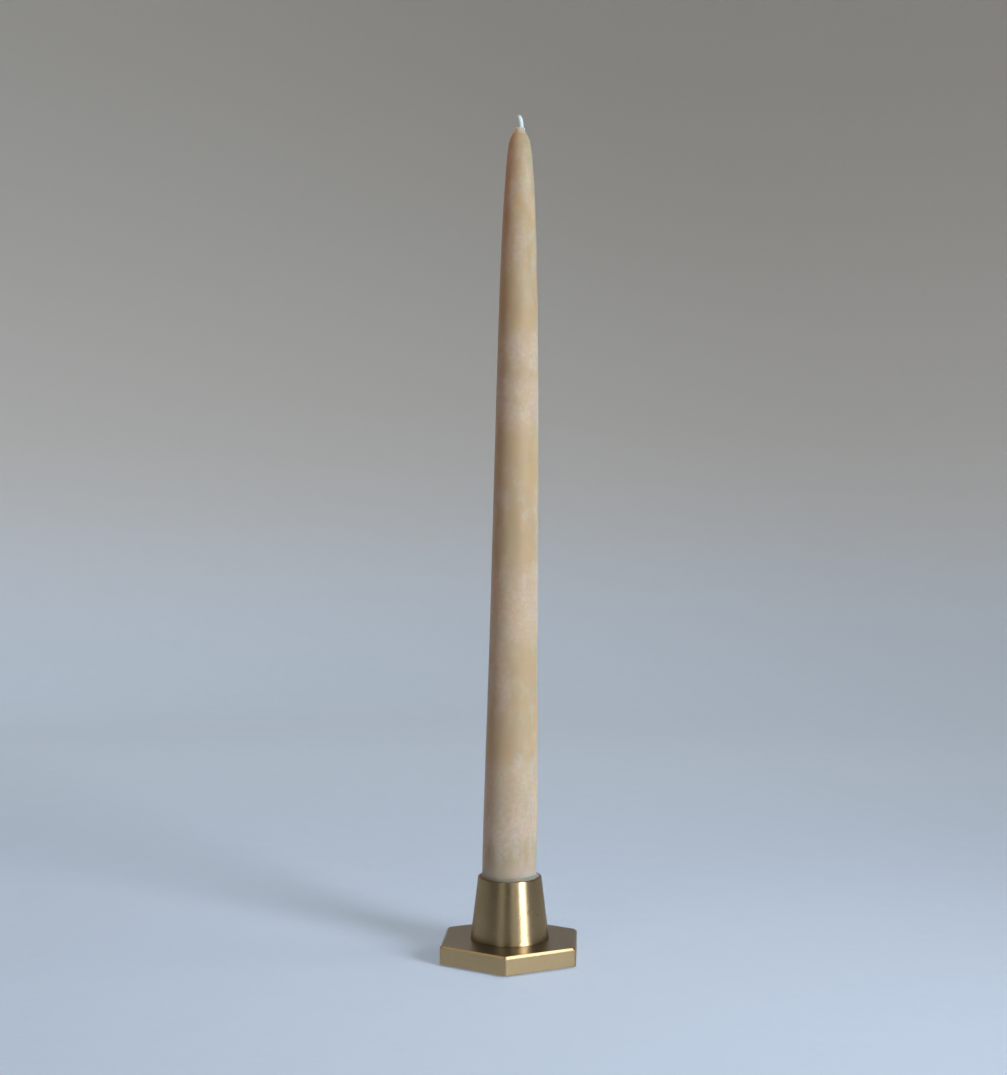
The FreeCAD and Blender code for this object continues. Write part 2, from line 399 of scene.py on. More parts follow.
brass_turned = brass_finish(
    "brass_turned", lines_level, roughness=0.27, spread=0.5, lines=9000, bump=0.0001, seed=1.0
)
brass_socket = brass_finish(
    "brass_socket", lines_level, roughness=0.34, spread=0.5, lines=5000, bump=0.003, seed=2.0
)
brass_side = brass_finish(
    "brass_brushed_side",
    lines_level,
    roughness=0.28,
    spread=0.2,
    lines=8000,
    bump=0.001,
    seed=3.0,
    base=BRASS_WARM,
    deep=BRASS,
)
brass_top = brass_finish(
    "brass_faced_top",
    lines_in_circles,
    roughness=0.34,
    spread=0.0,
    lines=7000,
    bump=0.0001,
    seed=4.0,
    base=BRASS_TOP,
    deep=BRASS_TOP_DEEP,
    glance=TOP_AT_A_GLANCE,
)
brass_bevel = brass_finish(
    "brass_polished_bevel", lines_level, roughness=0.12, spread=0.0, lines=9000, bump=0.0001, seed=5.0
)
brass_screw = brass_finish(
    "brass_screw", lines_in_circles, roughness=0.3, spread=0.3, lines=9000, bump=0.001, seed=6.0
)

# %% [markdown]
# ## The cup
# The real cup is turned from round bar: a straight cone outside, a straight bore for the candle, and
# a tapped hole through its floor. One closed outline, spun round the axis, gives all of it. The rim
# matters most, since it catches the light, so its inner bevel and outer round are true rounded edges.

# %% Feel the cup
feel_cup = surface_feeler("candle_cup")
cup_low, cup_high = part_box("candle_cup")
CUP_RIM_ROUND = 0.28 * MM
CUP_RIM_BEVEL = 0.45 * MM
CUP_FOOT_ROUND = 0.18 * MM
SOCKET_CORNER_ROUND = 0.4 * MM
TINY_ROUND = 0.08 * MM
HOLE_RADIUS = 1.8 * MM  # middle of the thread
AROUND = 192

low_height = cup_low.z + 5 * MM
high_height = cup_high.z - 5 * MM
taper = (felt_radius(feel_cup, high_height, False) - felt_radius(feel_cup, low_height, False)) / (
    high_height - low_height
)
foot_radius = felt_radius(feel_cup, low_height, False) - taper * (low_height - cup_low.z)
mouth_radius = foot_radius + taper * (cup_high.z - cup_low.z)
socket_radius = felt_radius(feel_cup, high_height, True)
socket_floor = feel_cup((5 * MM, 0, cup_high.z), (0, 0, -1)).z
print("cup, mm: foot", round(foot_radius / MM, 2), "mouth", round(mouth_radius / MM, 2))
print("socket, mm: radius", round(socket_radius / MM, 2), "floor", round(socket_floor / MM, 2))


# %% Spin the cup
def spun(outline, around=AROUND):
    """Rings of points from an outline of (radius, height)."""
    turns = [2 * math.pi * i / around for i in range(around)]
    return [[(r * math.cos(t), r * math.sin(t), z) for t in turns] for r, z in outline]


cup_corners = [
    (HOLE_RADIUS, cup_low.z),
    (HOLE_RADIUS, socket_floor),
    (socket_radius, socket_floor),
    (socket_radius, cup_high.z - CUP_RIM_BEVEL),
    (socket_radius + CUP_RIM_BEVEL, cup_high.z),
    (mouth_radius, cup_high.z),
    (foot_radius, cup_low.z),
]
cup_rounds = [
    TINY_ROUND,
    TINY_ROUND,
    SOCKET_CORNER_ROUND,
    TINY_ROUND,
    TINY_ROUND,
    CUP_RIM_ROUND,
    CUP_FOOT_ROUND,
]
cup_outline = rounded(cup_corners, cup_rounds, steps=4)
cup_slots = [1 if r < socket_radius + TINY_ROUND / 4 else 0 for r, z in cup_outline]
cup = ring_mesh("turned_cup", spun(cup_outline), True, [brass_turned, brass_socket], cup_slots)
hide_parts("candle_cup")
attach(cup, "holder")

# %% [markdown]
# ## The base plate
# The plate is a slice of hexagon bar with a polished bevel round its top. The hexagon's rings need
# points on the flats and round the corners, and every ring keeps the same number of points, so the
# circles inside it, for the screw and the felt, join on without gaps.

# %% Feel the plate
feel_plate = surface_feeler("base_plate")
plate_low, plate_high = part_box("base_plate")
half_flats = plate_high.x
COS_30 = math.cos(math.pi / 6)
# A sharp corner would reach half_flats / COS_30. What is missing from that tells the corner's round.
corner_round = (half_flats / COS_30 - plate_high.y) / (1 / COS_30 - 1)
BEVEL = 0.85 * MM
BEVEL_EDGE_ROUND = 0.1 * MM
UNDERSIDE_ROUND = 0.3 * MM
FLAT_STEPS = 14
CORNER_STEPS = 6

recess_radius = felt_radius(feel_plate, plate_low.z + 0.3 * MM, True)
recess_floor = feel_plate((recess_radius / 2, 0, 0), UP).z
counterbore_radius = felt_radius(feel_plate, recess_floor + MM, True)
counterbore_floor = feel_plate((counterbore_radius - 0.5 * MM, 0, 0), UP).z
screw_hole_radius = felt_radius(feel_plate, plate_high.z - MM, True)
print("plate, mm: half flats", round(half_flats / MM, 2), "top", round(plate_high.z / MM, 2))
print("recess", round(recess_radius / MM, 2), "corner round", round(corner_round / MM, 2))


# %% Rings of a hexagon and of circles
def hexagon_ring(flat_radius):
    """Points round a hexagon with rounded corners, one corner towards -Y."""
    points = []
    for side in range(6):
        turn = math.radians(60 * side - 90)
        arc_middle = (flat_radius - corner_round) / COS_30
        for step in range(CORNER_STEPS + 1):
            spoke = turn + math.radians(-30 + 60 * step / CORNER_STEPS)
            points.append(
                (
                    arc_middle * math.cos(turn) + corner_round * math.cos(spoke),
                    arc_middle * math.sin(turn) + corner_round * math.sin(spoke),
                )
            )
        next_turn = turn + math.pi / 3
        start = Vector(points[-1])
        spoke = next_turn - math.radians(30)
        end = Vector(
            (
                arc_middle * math.cos(next_turn) + corner_round * math.cos(spoke),
                arc_middle * math.sin(next_turn) + corner_round * math.sin(spoke),
            )
        )
        for step in range(1, FLAT_STEPS):
            points.append(tuple(start.lerp(end, step / FLAT_STEPS)))
    return points


outer_ring = hexagon_ring(half_flats)
directions = [Vector(point).normalized() for point in outer_ring]


def plate_ring(radius, height):
    """A hexagon out where the plate is one, a circle where it is bored."""
    if radius > recess_radius + MM:
        return [(x, y, height) for x, y in hexagon_ring(radius)]
    return [(d.x * radius, d.y * radius, height) for d in directions]


# %% Stack the plate's rings
plate_corners = [
    (screw_hole_radius, plate_high.z),
    (screw_hole_radius, counterbore_floor),
    (counterbore_radius, counterbore_floor),
    (counterbore_radius, recess_floor),
    (recess_radius, recess_floor),
    (recess_radius, plate_low.z),
    (half_flats, plate_low.z),
    (half_flats, plate_high.z - BEVEL),
    (half_flats - BEVEL, plate_high.z),
]
plate_rounds = [TINY_ROUND] * 6 + [UNDERSIDE_ROUND, BEVEL_EDGE_ROUND, BEVEL_EDGE_ROUND]
plate_outline = rounded(plate_corners, plate_rounds, steps=4)
TOP_SLOT, SIDE_SLOT, BEVEL_SLOT = 0, 1, 2
UPRIGHT, LEVEL = 0.98, 0.05  # rise of a strip as a share of its length


def plate_slot(here, there):
    """Which finish the strip between two outline points gets."""
    steepness = abs(there[1] - here[1]) / max(math.dist(here, there), 1e-9)
    if here[0] < recess_radius + MM:
        return TOP_SLOT
    if steepness > UPRIGHT:
        return SIDE_SLOT
    return BEVEL_SLOT if steepness > LEVEL and here[1] > plate_low.z + MM else TOP_SLOT


next_points = plate_outline[1:] + plate_outline[:1]
plate_slots = [plate_slot(here, there) for here, there in zip(plate_outline, next_points)]
plate = ring_mesh(
    "hexagon_plate",
    [plate_ring(r, z) for r, z in plate_outline],
    True,
    [brass_top, brass_side, brass_bevel],
    plate_slots,
)
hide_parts("base_plate")
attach(plate, "holder")

# %% [markdown]
# ## The screw and its washers
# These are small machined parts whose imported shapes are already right, slot and all. They keep their
# shape and only get finishes: brass for the screw, blued spring steel and bright zinc for the washers.


# %% Steel finishes
def steel_finish(name, tone, dark, roughness, seed):
    """Turned or ground steel with clouded marks and bare metal at its edges."""
    material, tree, shader, place = new_material(name)
    grain = use_group(
        tree,
        lines_group,
        {
            "Place": lines_in_circles(tree, place),
            "Lines per metre": 12000.0,
            "Changes along": 300.0,
            "Seed": seed,
        },
    )
    marks = use_group(tree, marks_group, {"Place": place, "Size": 0.002, "Seed": seed})["Marks"]
    wear = use_group(tree, wear_group, {"Strength": 0.5})["Wear"]
    tinted = mix_colour(tree, marks, tone, dark)
    tree.links.new(mix_colour(tree, wear, tinted, colour(0.7, 0.7, 0.7)), shader.inputs["Base Color"])
    rough = maths(tree, "MULTIPLY_ADD", grain["Lines"], 0.1, roughness)
    tree.links.new(rough, shader.inputs["Roughness"])
    relief = node(tree, "Bump", {"Height": grain["Lines"], "Distance": 0.002 * MM})
    tree.links.new(relief.outputs[0], shader.inputs["Normal"])
    shader.inputs["Metallic"].default_value = 1.0
    return material


BLUED, BLUED_DARK = colour(0.13, 0.14, 0.17), colour(0.06, 0.06, 0.08)
ZINC, ZINC_DARK = colour(0.62, 0.62, 0.64), colour(0.42, 0.42, 0.43)
blued_steel = steel_finish("blued_spring_steel", BLUED, BLUED_DARK, roughness=0.32, seed=1.0)
zinc = steel_finish("bright_zinc", ZINC, ZINC_DARK, roughness=0.3, seed=2.0)


def dress(name, material):
    """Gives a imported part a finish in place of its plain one."""
    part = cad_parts[name]
    for slot in part.material_slots:
        slot.material = material
    print(name, "finish", material.name)


dress("cup_screw", brass_screw)
dress("spring_washer", blued_steel)
dress("plain_washer", zinc)

# %% [markdown]
# ## The candle
# A dipped taper grows one thin coat at a time, so it is never quite round or straight: slow swellings,
# faint rings where a dip ended, runs where wax crept down, and a few pits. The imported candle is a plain
# bowed taper. Rays measure its middle and its radius at many heights, a smooth curve through them
# takes out the flats of its mesh, and the unevenness of the dips is then cut into the surface.

# %% Feel the candle
feel_wax = surface_feeler("candle_wax")
wax_low, wax_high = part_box("candle_wax")
SHOULDER = wax_high.z - 7 * MM  # the taper turns into the domed tip here
EASE = 6 * MM  # below the shoulder, the smooth curve gives way to the rays over this height
BODY_CURVE = 6  # degree of the smooth curve through the measured sizes


def wax_section(height):
    """Middle and radius of the candle at one height, from two rays."""
    left = feel_wax((-0.05, 0, height), (1, 0, 0)).x
    right = feel_wax((0.05, 0, height), (-1, 0, 0)).x
    return (left + right) / 2, (right - left) / 2


body_heights = np.linspace(wax_low.z + MM, SHOULDER, 120)
body_sections = np.array([wax_section(z) for z in body_heights])
middle_curve = np.polynomial.Polynomial.fit(body_heights, body_sections[:, 0], BODY_CURVE)
radius_curve = np.polynomial.Polynomial.fit(body_heights, body_sections[:, 1], BODY_CURVE)
miss = np.abs(radius_curve(body_heights) - body_sections[:, 1]).max()
print("candle, mm: length", round((wax_high.z - wax_low.z) / MM, 1))
print("the smooth curve misses the rays by, mm:", round(miss / MM, 3))


def wax_size(height):
    """Smoothed middle and radius at one height, the domed tip straight from the rays."""
    if height <= SHOULDER - EASE:
        return middle_curve(height), radius_curve(height)
    middle, radius = wax_section(min(height, wax_high.z - 0.02 * MM))
    blend = min((height - SHOULDER + EASE) / EASE, 1.0)
    smooth = radius_curve(min(height, SHOULDER))
    return middle_curve(min(height, SHOULDER)), smooth * (1 - blend) + radius * blend


# %% The dips' unevenness
DIP_RINGS = [48, 128, 215, 248] + random.Random(7).sample(range(60, 300, 4), 6)  # heights in mm
PITS = [  # height in mm, turn in degrees, depth and width in mm
    (246, -75, 0.10, 0.5),
    (168, -35, 0.08, 0.5),
    (96, 40, 0.06, 0.4),
    (131, 150, 0.09, 0.5),
    (205, 100, 0.07, 0.4),
]
SWELL_DEPTH, SWELL_TALL, SWELL_ROUND = 0.10 * MM, 26 * MM, 0.6
RUN_DEPTH, RUN_TALL, RUN_ROUND = 0.035 * MM, 60 * MM, 3.2  # runs are tall and narrow
DIP_STEP, DIP_TALL, DIP_WANDER = 0.02 * MM, 0.9 * MM, 0.5 * MM
PIT_REACH = 9.5 * MM  # radius of the candle where the pits are, to turn an angle into a length


def slow_noise(height, turn, tall, round_about, offset=0.0):
    """Noise from 0 to 1 that closes on itself round the candle."""
    spot = Vector((math.cos(turn) * round_about, math.sin(turn) * round_about, height / tall + offset))
    return 0.5 + 0.5 * noise.noise(spot)


def unevenness(height, turn):
    """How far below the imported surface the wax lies, at a height and a turn about the candle."""
    sunk = SWELL_DEPTH * slow_noise(height, turn, SWELL_TALL, SWELL_ROUND)
    sunk += RUN_DEPTH * slow_noise(height, turn, RUN_TALL, RUN_ROUND, 9)
    for ring in DIP_RINGS:
        wander = DIP_WANDER * math.sin(turn + ring)
        sunk += DIP_STEP * math.exp(-(((height - ring * MM - wander) / DIP_TALL) ** 2))
    for pit_height, pit_turn, depth, width in PITS:
        across = (turn - math.radians(pit_turn) + math.pi) % (2 * math.pi) - math.pi
        away = math.hypot(height - pit_height * MM, across * PIT_REACH) / (width * MM)
        sunk += depth * MM * math.exp(-away * away)
    return sunk


# %% [markdown]
# The wax itself: light goes into it, red light the furthest, and comes out warmer on the shaded side.
# That is subsurface scattering, and a radius for each colour sets it. The skin has frosty pinkish
# patches, called bloom, darker and more olive wax towards both ends, and faint rings. The
# sheen is soft, duller where the bloom is.

# %% Wax finish
WAX = colour(0.413, 0.321, 0.196)
WAX_DEEP = colour(0.37, 0.265, 0.144)
WAX_OLIVE = colour(0.345, 0.282, 0.172)
WAX_BLOOM = colour(0.50, 0.422, 0.345)
WAX_COLLAR = colour(0.50, 0.47, 0.35)
WAX_SQUEEZED = colour(0.48, 0.365, 0.277)
BLOOM_BANDS = [(64, 17), (143, 15), (223, 9), (245, 5)]  # middle and half width, mm
BLOOM_EDGE_OUT, BLOOM_EDGE_IN = 7, 4  # how softly a band ends, mm outside and inside it
FOOT_OLIVE = (54 * MM, 44 * MM)  # heights between which a colour fades in
TIP_OLIVE = (304 * MM, 330 * MM)
RIM_SMEAR = (44 * MM, 34 * MM)
COLLAR = (332.5 * MM, 334.5 * MM)
SKIN_BUMP = 0.02 * MM

wax_material, tree, shader, place = new_material("dipped_wax")
height = node(tree, "SeparateXYZ", {0: place}).outputs[2]
stretched = node(tree, "VectorMath", {0: place, 1: (1, 1, 0.5)}, operation="MULTIPLY").outputs[0]
patches = use_group(tree, marks_group, {"Place": stretched, "Size": 0.02, "Seed": 11.0})["Marks"]
specks = use_group(tree, marks_group, {"Place": place, "Size": 0.0016, "Seed": 12.0})["Marks"]
rings = use_group(
    tree,
    lines_group,
    {"Place": place, "Lines per metre": 500.0, "Changes along": 20.0, "Seed": 13.0},
)
bands = 0.0
for middle, half in BLOOM_BANDS:
    away = maths(tree, "ABSOLUTE", maths(tree, "SUBTRACT", height, middle * MM))
    band = ramp(tree, away, (half + BLOOM_EDGE_OUT) * MM, (half - BLOOM_EDGE_IN) * MM)
    bands = maths(tree, "MAXIMUM", bands, band)
clouds = maths(tree, "MULTIPLY_ADD", patches, 0.7, 0.1)
frosty = ramp(tree, maths(tree, "MULTIPLY_ADD", bands, 0.5, clouds), 0.1, 1.0)
bloom = maths(tree, "MULTIPLY", frosty, maths(tree, "MULTIPLY_ADD", specks, 0.6, 0.4))
# darker, more olive wax towards both ends
olive = maths(tree, "MAXIMUM", ramp(tree, height, *FOOT_OLIVE), ramp(tree, height, *TIP_OLIVE))
near_rim = ramp(tree, height, *RIM_SMEAR)
skin = mix_colour(tree, maths(tree, "MULTIPLY", rings["Bands"], 0.3), WAX, WAX_DEEP)
skin = mix_colour(tree, maths(tree, "MULTIPLY", olive, 0.7), skin, WAX_OLIVE)
skin = mix_colour(tree, maths(tree, "MULTIPLY", bloom, 0.85), skin, WAX_BLOOM)
skin = mix_colour(tree, maths(tree, "MULTIPLY", near_rim, 0.7), skin, WAX_SQUEEZED)
skin = mix_colour(tree, ramp(tree, height, *COLLAR), skin, WAX_COLLAR)
tree.links.new(skin, shader.inputs["Base Color"])
tree.links.new(maths(tree, "MULTIPLY_ADD", bloom, 0.16, 0.40), shader.inputs["Roughness"])
relief_height = maths(tree, "MULTIPLY_ADD", specks, 0.3, rings["Bands"])
relief = node(tree, "Bump", {"Height": relief_height, "Distance": SKIN_BUMP})
tree.links.new(relief.outputs[0], shader.inputs["Normal"])
shader.inputs["Subsurface Weight"].default_value = 1.0
shader.inputs["Subsurface Radius"].default_value = (1.0, 0.42, 0.17)
shader.inputs["Subsurface Scale"].default_value = 28.0 * MM
shader.inputs["IOR"].default_value = 1.44
shader.inputs["Specular IOR Level"].default_value = 0.16
shader.inputs["Specular Tint"].default_value = colour(1.0, 0.9, 0.8)

# %% Build the candle
WAX_AROUND = 120
RING_SPACING = 0.8 * MM
BUTT_ROUND = 0.6 * MM
BEAD_RISE = 0.1 * MM  # the squeezed bead's height above the rim
BEAD_TALL = 0.55 * MM
BEAD_SPILL = 0.3 * MM  # how far it lies over the rim's inner bevel
RIM_GAP = 0.03 * MM  # what the wax leaves free of the brass
BEAD_SIDE = Vector((1, 0.6))  # the side where the bead is thickest


def squeezed(height, point):
    """Wax that the rim has pushed up moves outwards into the mouth of the socket, most on the right."""
    rise = (height - cup_high.z - BEAD_RISE) / BEAD_TALL
    share = math.exp(-rise * rise) * (0.75 + 0.25 * math.cos(point.angle_signed(BEAD_SIDE)))
    mouth = socket_radius + BEAD_SPILL - RIM_GAP
    if height < cup_high.z - CUP_RIM_BEVEL:
        mouth = socket_radius - RIM_GAP
    return point * (1 + max(0.0, mouth / point.length - 1) * share)


def wax_ring(height, shrink=0.0):
    """One ring of the candle's skin, drawn in by a given amount to close its lower end."""
    middle, radius = wax_size(height)
    ring = []
    for i in range(WAX_AROUND):
        turn = 2 * math.pi * i / WAX_AROUND
        r = radius - shrink - unevenness(height, turn)
        point = Vector((middle + r * math.cos(turn), r * math.sin(turn)))
        if abs(height - cup_high.z) < 4 * BEAD_TALL:
            point = squeezed(height, point)
        ring.append((point.x, point.y, height))
    return ring


butt = wax_low.z
TIP_CAP = 0.05 * MM  # the last rings close the dome within this height
top = wax_high.z - TIP_CAP
side_heights = np.concatenate(
    [
        np.arange(butt + BUTT_ROUND, cup_high.z - 2 * MM, RING_SPACING),
        np.arange(cup_high.z - 2 * MM, cup_high.z + 2.4 * MM, 0.15 * MM),
        np.arange(cup_high.z + 2.6 * MM, SHOULDER, RING_SPACING),
        np.linspace(SHOULDER, top, 26),
    ]
)
wax_rings = [wax_ring(butt, shrink=9.2 * MM), wax_ring(butt, shrink=5 * MM)]
for step in range(4):
    share = step / 4
    wax_rings.append(wax_ring(butt + BUTT_ROUND * share, BUTT_ROUND * (1 - share)))
wax_rings += [wax_ring(z) for z in side_heights]
tip_middle, tip_radius = wax_size(top)
for share in (0.75, 0.5):
    inner = tip_radius * share
    wax_rings.append(
        [
            (
                tip_middle + inner * math.cos(2 * math.pi * i / WAX_AROUND),
                inner * math.sin(2 * math.pi * i / WAX_AROUND),
                top + TIP_CAP * (1 - share),
            )
            for i in range(WAX_AROUND)
        ]
    )
wax = ring_mesh("dipped_candle", wax_rings, False, [wax_material])
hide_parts("candle_wax")
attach(wax, "candle")

# %% [markdown]
# ## The wick
# Cotton yarns, plaited. A smooth rod would look like plastic, so the yarns are modelled: each follows
# a helix round the wick's line, thick enough to touch its neighbours, and near the end they loosen,
# bend over and fray into single fibres.

# %% Cotton finish
SOAKED = (338.5 * MM, 335.5 * MM)  # heights between which the cotton gets full of wax
cotton, tree, shader, place = new_material("cotton_wick")
fibres = use_group(
    tree,
    lines_group,
    {"Place": place, "Lines per metre": 9000.0, "Changes along": 6000.0, "Seed": 21.0},
)
soak = ramp(tree, node(tree, "SeparateXYZ", {0: place}).outputs[2], *SOAKED)
clean = mix_colour(tree, fibres["Lines"], colour(0.88, 0.87, 0.84), colour(0.70, 0.69, 0.66))
tree.links.new(mix_colour(tree, soak, clean, colour(0.74, 0.72, 0.60)), shader.inputs["Base Color"])
tree.links.new(maths(tree, "MULTIPLY_ADD", soak, -0.35, 0.85), shader.inputs["Roughness"])
relief = node(tree, "Bump", {"Height": fibres["Lines"], "Distance": 0.02 * MM})
tree.links.new(relief.outputs[0], shader.inputs["Normal"])
shader.inputs["Subsurface Weight"].default_value = 0.3
shader.inputs["Subsurface Scale"].default_value = 0.6 * MM

# %% Plait the wick
wick_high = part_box("candle_wick")[1]
feel_wick = surface_feeler("candle_wick")
YARNS = 5
YARN_RADIUS = 0.39 * MM
HELIX_RADIUS = 0.58 * MM
TURNS_PER_METRE = 170
FIBRES = 16
BURIED = 4 * MM  # how far the yarns run down into the wax


def wick_middle(height):
    """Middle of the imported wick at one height."""
    height = min(height, wick_high.z - 0.1 * MM)
    left = feel_wick((-0.05, 0, height), (1, 0, 0)).x
    right = feel_wick((0.05, 0, height), (-1, 0, 0)).x
    return Vector(((left + right) / 2, 0, height))


def tube(points, radii, sides=8):
    """Rings of a round thread along a line of points, closed at both ends."""
    rings = []
    for i, point in enumerate(points):
        ahead = points[min(i + 1, len(points) - 1)]
        behind = points[max(i - 1, 0)]
        along = (ahead - behind).normalized()
        if abs(along.z) < 0.5:
            side = along.orthogonal().normalized()
        else:
            side = along.cross(Vector((0, 1, 0))).normalized()
        other = along.cross(side)
        rings.append(
            [
                point + radii[i] * (math.cos(t) * side + math.sin(t) * other)
                for t in (2 * math.pi * j / sides for j in range(sides))
            ]
        )
    return rings


YARN_STEPS = 60
YARN_END = 0.7 * MM  # the yarns stop this far below the last fibres
STRAIGHT = 0.6  # share of the free end before the yarns loosen
bare = wax_high.z
reach = wick_high.z - bare
yarn_pieces = []
for yarn in range(YARNS):
    phase = 2 * math.pi * yarn / YARNS
    line, radii = [], []
    for step in range(YARN_STEPS + 1):
        height = bare - BURIED + (BURIED + reach - YARN_END) * step / YARN_STEPS
        turn = phase + 2 * math.pi * TURNS_PER_METRE * (height - bare)
        loose = max(0.0, (height - bare - STRAIGHT * reach) / ((1 - STRAIGHT) * reach))
        out = HELIX_RADIUS * (1 - 0.25 * loose)
        line.append(wick_middle(height) + out * Vector((math.cos(turn), math.sin(turn), 0)))
        radii.append(YARN_RADIUS * (1 - 0.35 * loose))
    yarn_pieces.append(ring_mesh(f"yarn_{yarn}", tube(line, radii), False, [cotton]))

FIBRE_STEPS = 6
FIBRE_RADIUS = 0.075 * MM
draw = random.Random(3)
for fibre in range(FIBRES):
    start = wick_middle(wick_high.z - draw.uniform(0.9, 1.6) * MM)
    start += Vector((draw.uniform(-0.5, 0.5), draw.uniform(-0.5, 0.5), 0)) * MM
    lean = Vector((draw.uniform(-0.9, 0.1), draw.uniform(-0.5, 0.5), 0)) * MM
    length = min(draw.uniform(0.9, 1.7) * MM, wick_high.z - 0.03 * MM - start.z)
    shares = [step / FIBRE_STEPS for step in range(FIBRE_STEPS + 1)]
    line = [start + lean * share**1.6 + UP * length * share for share in shares]
    radii = [FIBRE_RADIUS * (1 - 0.7 * share) for share in shares]
    yarn_pieces.append(ring_mesh(f"fibre_{fibre}", tube(line, radii, 5), False, [cotton]))

bpy.ops.object.select_all(action="DESELECT")
for piece in yarn_pieces:
    piece.select_set(True)
bpy.context.view_layer.objects.active = yarn_pieces[0]
bpy.ops.object.join()
wick = yarn_pieces[0]
wick.name = "plaited_wick"
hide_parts("candle_wick")
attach(wick, "candle")

# %% [markdown]
# ## The felt and its film
# The pad is a ring of wool felt, cut from sheet and stuck in the recess. Felt has no weave, only
# matted fibres, so its faces are slightly lumpy and its edges soft. It is a sheet of cloth, laid flat.

# %% Felt finish
felt_material, tree, shader, place = new_material("wool_felt")
tufts = use_group(tree, marks_group, {"Place": place, "Size": 0.0012, "Seed": 31.0})["Marks"]
wool = use_group(tree, marks_group, {"Place": place, "Size": 0.008, "Seed": 32.0})["Marks"]
shade = mix_colour(tree, tufts, colour(0.016, 0.020, 0.015), colour(0.045, 0.055, 0.042))
tree.links.new(
    mix_colour(tree, maths(tree, "MULTIPLY", wool, 0.5), shade, colour(0.03, 0.033, 0.026)),
    shader.inputs["Base Color"],
)
tree.links.new(maths(tree, "MULTIPLY_ADD", tufts, 0.05, 0.92), shader.inputs["Roughness"])
relief = node(tree, "Bump", {"Height": tufts, "Distance": 0.15 * MM})
tree.links.new(relief.outputs[0], shader.inputs["Normal"])
shader.inputs["Sheen Weight"].default_value = 0.4
shader.inputs["Sheen Roughness"].default_value = 0.5

# %% Cut the felt ring
felt_low, felt_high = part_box("felt_pad")
feel_felt = surface_feeler("felt_pad")
felt_outer = felt_high.x
felt_inner = felt_radius(feel_felt, (felt_low.z + felt_high.z) / 2, True)
FELT_ROUND = 0.3 * MM
FELT_LUMP = 0.04 * MM
LUMP_SIZE = 0.9 * MM
FELT_SPACING = 0.8 * MM
felt_corners = [
    (felt_inner, felt_low.z),
    (felt_inner, felt_high.z),
    (felt_outer, felt_high.z),
    (felt_outer, felt_low.z),
]
felt_outline = rounded(felt_corners, [FELT_ROUND] * 4, steps=3)
filled = []
for here, there in zip(felt_outline, felt_outline[1:] + felt_outline[:1]):
    pieces = max(1, round((Vector(there) - Vector(here)).length / FELT_SPACING))
    filled += [Vector(here).lerp(Vector(there), i / pieces) for i in range(pieces)]
middle_of_felt = Vector(((felt_inner + felt_outer) / 2, (felt_low.z + felt_high.z) / 2))
felt_rings = []
for r, z in filled:
    ring = []
    for i in range(AROUND):
        turn = 2 * math.pi * i / AROUND
        point = Vector((r * math.cos(turn), r * math.sin(turn), z))
        lump = FELT_LUMP * (0.5 + 0.5 * noise.noise(point / LUMP_SIZE))
        inward = Vector(((middle_of_felt.x - r) * 0.05, middle_of_felt.y - z)).normalized() * lump
        r_in = r + inward.x
        ring.append((r_in * math.cos(turn), r_in * math.sin(turn), z + inward.y))
    felt_rings.append(ring)
felt = ring_mesh("felt_ring", felt_rings, True, [felt_material])
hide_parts("felt_pad")
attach(felt, "holder")

# %% Sticky film
film, tree, shader, place = new_material("sticky_film")
wrinkles = use_group(tree, marks_group, {"Place": place, "Size": 0.004, "Seed": 41.0})["Marks"]
amber = mix_colour(tree, wrinkles, colour(0.62, 0.55, 0.38), colour(0.50, 0.43, 0.28))
tree.links.new(amber, shader.inputs["Base Color"])
tree.links.new(maths(tree, "MULTIPLY_ADD", wrinkles, 0.2, 0.35), shader.inputs["Roughness"])
relief = node(tree, "Bump", {"Height": wrinkles, "Distance": 0.02 * MM})
tree.links.new(relief.outputs[0], shader.inputs["Normal"])
dress("pad_adhesive", film)

# %% [markdown]
# ## The studio
# Brass has little look of its own: it shows what stands round it. So the candlestick stands in a round
# sweep, a floor that curves up into a wall on every side, with no horizon. The floor is a pale cool
# blue, and the wall turns grey as it rises. On the viewer's side the wall is dark and warm, like
# a room, which keeps the brass deep in colour. The pale parts also glow faintly, in place of the
# daylight that would come back from the walls of a real room.

# %% Sweep
FLOOR_DROP = 0.05 * MM
SWEEP_FLOOR = 0.8
SWEEP_CURVE = 0.7
SWEEP_HEIGHT = 2.2
BLUE_FLOOR, GREY_WALL = colour(0.675, 0.73, 0.81), colour(0.54, 0.52, 0.475)
DARK_ROOM, NEAR_FLOOR = colour(0.18, 0.14, 0.095), colour(0.44, 0.41, 0.36)
GLOW_FLOOR, GLOW_FAR = colour(0.14, 0.17, 0.215), colour(0.19, 0.225, 0.265)
GLOW_LOW, GLOW_HIGH = colour(0.20, 0.20, 0.20), colour(0.112, 0.104, 0.094)
PAPER_MARKS = colour(0.4, 0.4, 0.4)
UNLIT = colour(0, 0, 0)
LEAVES_THE_FLOOR = (0.0, 0.25)  # heights between which the floor becomes the wall
TURNS_GREY = (0.0, 0.35)
GLOWS_LESS = (0.1, 0.8)
VIEWERS_SIDE = (1.1, 0.1)  # depths between which the wall darkens, the object being at 0
BEFORE_THE_OBJECT = (-0.15, -0.5)
BEYOND_THE_OBJECT = (0.15, 0.6)

